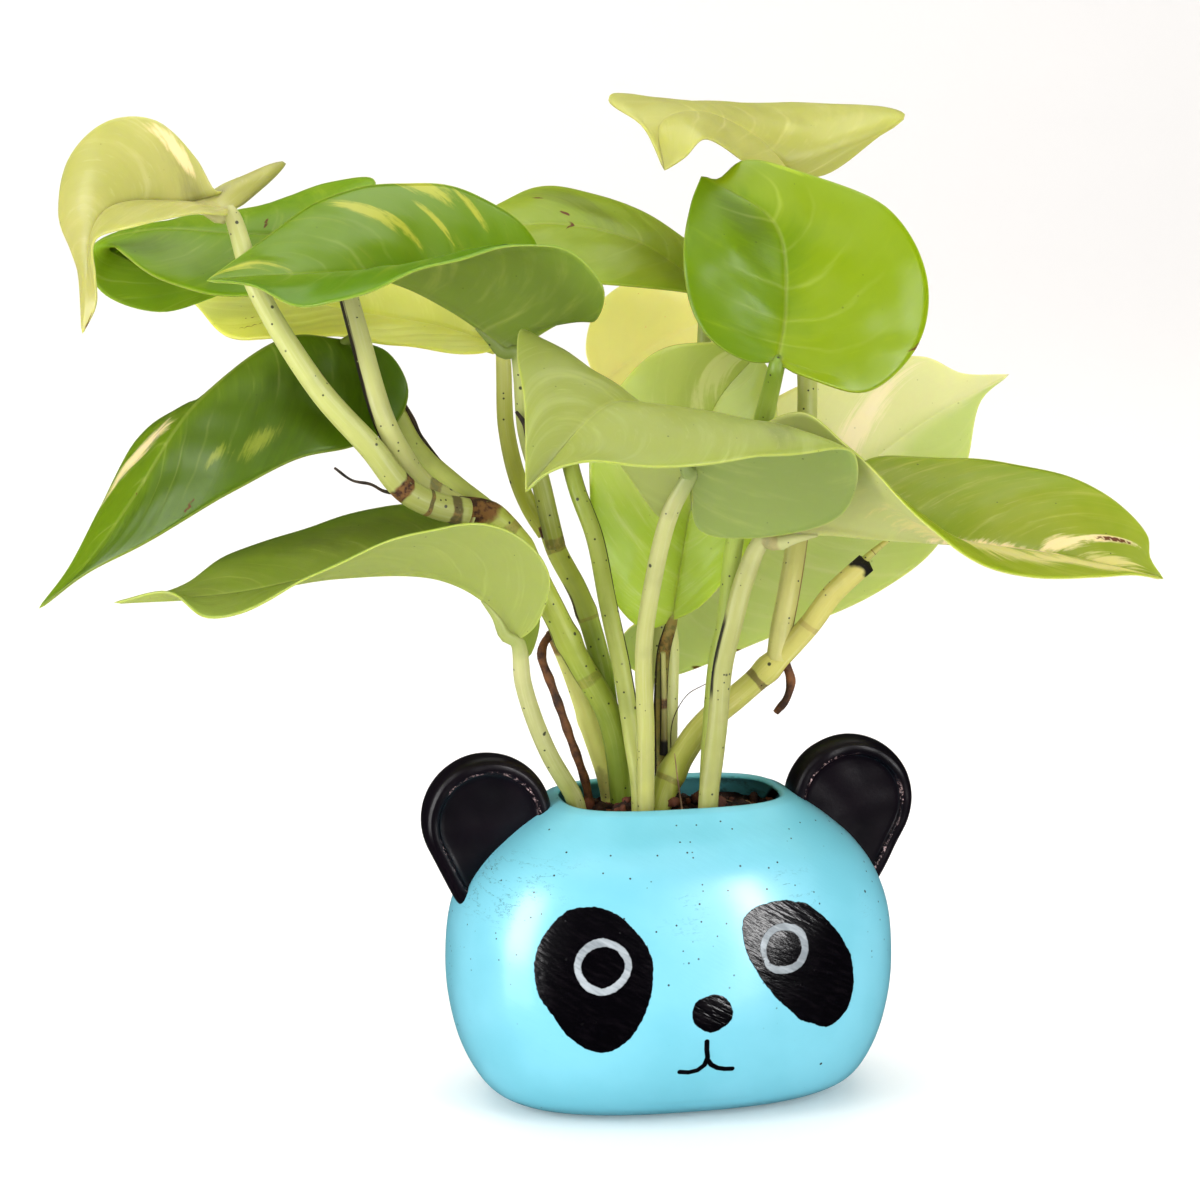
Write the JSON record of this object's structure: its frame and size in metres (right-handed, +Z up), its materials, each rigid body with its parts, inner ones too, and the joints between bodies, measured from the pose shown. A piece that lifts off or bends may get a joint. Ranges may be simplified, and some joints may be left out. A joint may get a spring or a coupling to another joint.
{
  "type": "potted neon pothos",
  "caption": "Young neon pothos with heart-shaped lemon and green leaves on long stalks, rooted in soil in a small turquoise pot with a hand-painted panda face and ears.",
  "frame": {"origin": "centre of the pot's flat underside", "axes": "+Z up, the pot's face looks along -Y, the ears are to both sides along X"},
  "size_m": [0.2413, 0.1289, 0.2217],
  "materials": {
    "painted_pot": "glossy paint, turquoise with black features",
    "soil": "matte, crumbly",
    "stem": "satin",
    "root": "matte",
    "sheath": "matte, dry",
    "leaf_lemon_left": "satin, waxy",
    "leaf_long_left": "satin, waxy",
    "leaf_big_green": "satin, waxy",
    "leaf_back_top": "satin, waxy",
    "leaf_lemon_back": "satin, waxy",
    "leaf_lemon_low": "satin, waxy",
    "leaf_dark_droop": "satin, waxy",
    "leaf_low_left": "satin, waxy",
    "leaf_heart": "satin, waxy",
    "leaf_top_right": "satin, waxy",
    "leaf_front": "satin, waxy",
    "leaf_green_mid": "satin, waxy",
    "leaf_back_right": "satin, waxy",
    "leaf_right_streaked": "satin, waxy"
  },
  "bodies": {
    "root": {"pot": "painted_pot", "soil": "soil", "stem_left": "stem", "stem_specked": "stem", "stem_cut": "stem", "leaf_lemon_left": "leaf_lemon_left", "leaf_long_left": "leaf_long_left", "leaf_big_green": "leaf_big_green", "leaf_back_top": "leaf_back_top", "leaf_lemon_back": "leaf_lemon_back", "leaf_lemon_low": "leaf_lemon_low", "leaf_dark_droop": "leaf_dark_droop", "leaf_low_left": "leaf_low_left", "leaf_heart": "leaf_heart", "leaf_top_right": "leaf_top_right", "leaf_front": "leaf_front", "leaf_green_mid": "leaf_green_mid", "leaf_back_right": "leaf_back_right", "leaf_right_streaked": "leaf_right_streaked", "root_left": "root", "root_right": "root", "root_hair": "root", "sheath_left": "sheath", "sheath_shoot": "sheath", "sheath_middle": "sheath"}
  },
  "joints": []
}
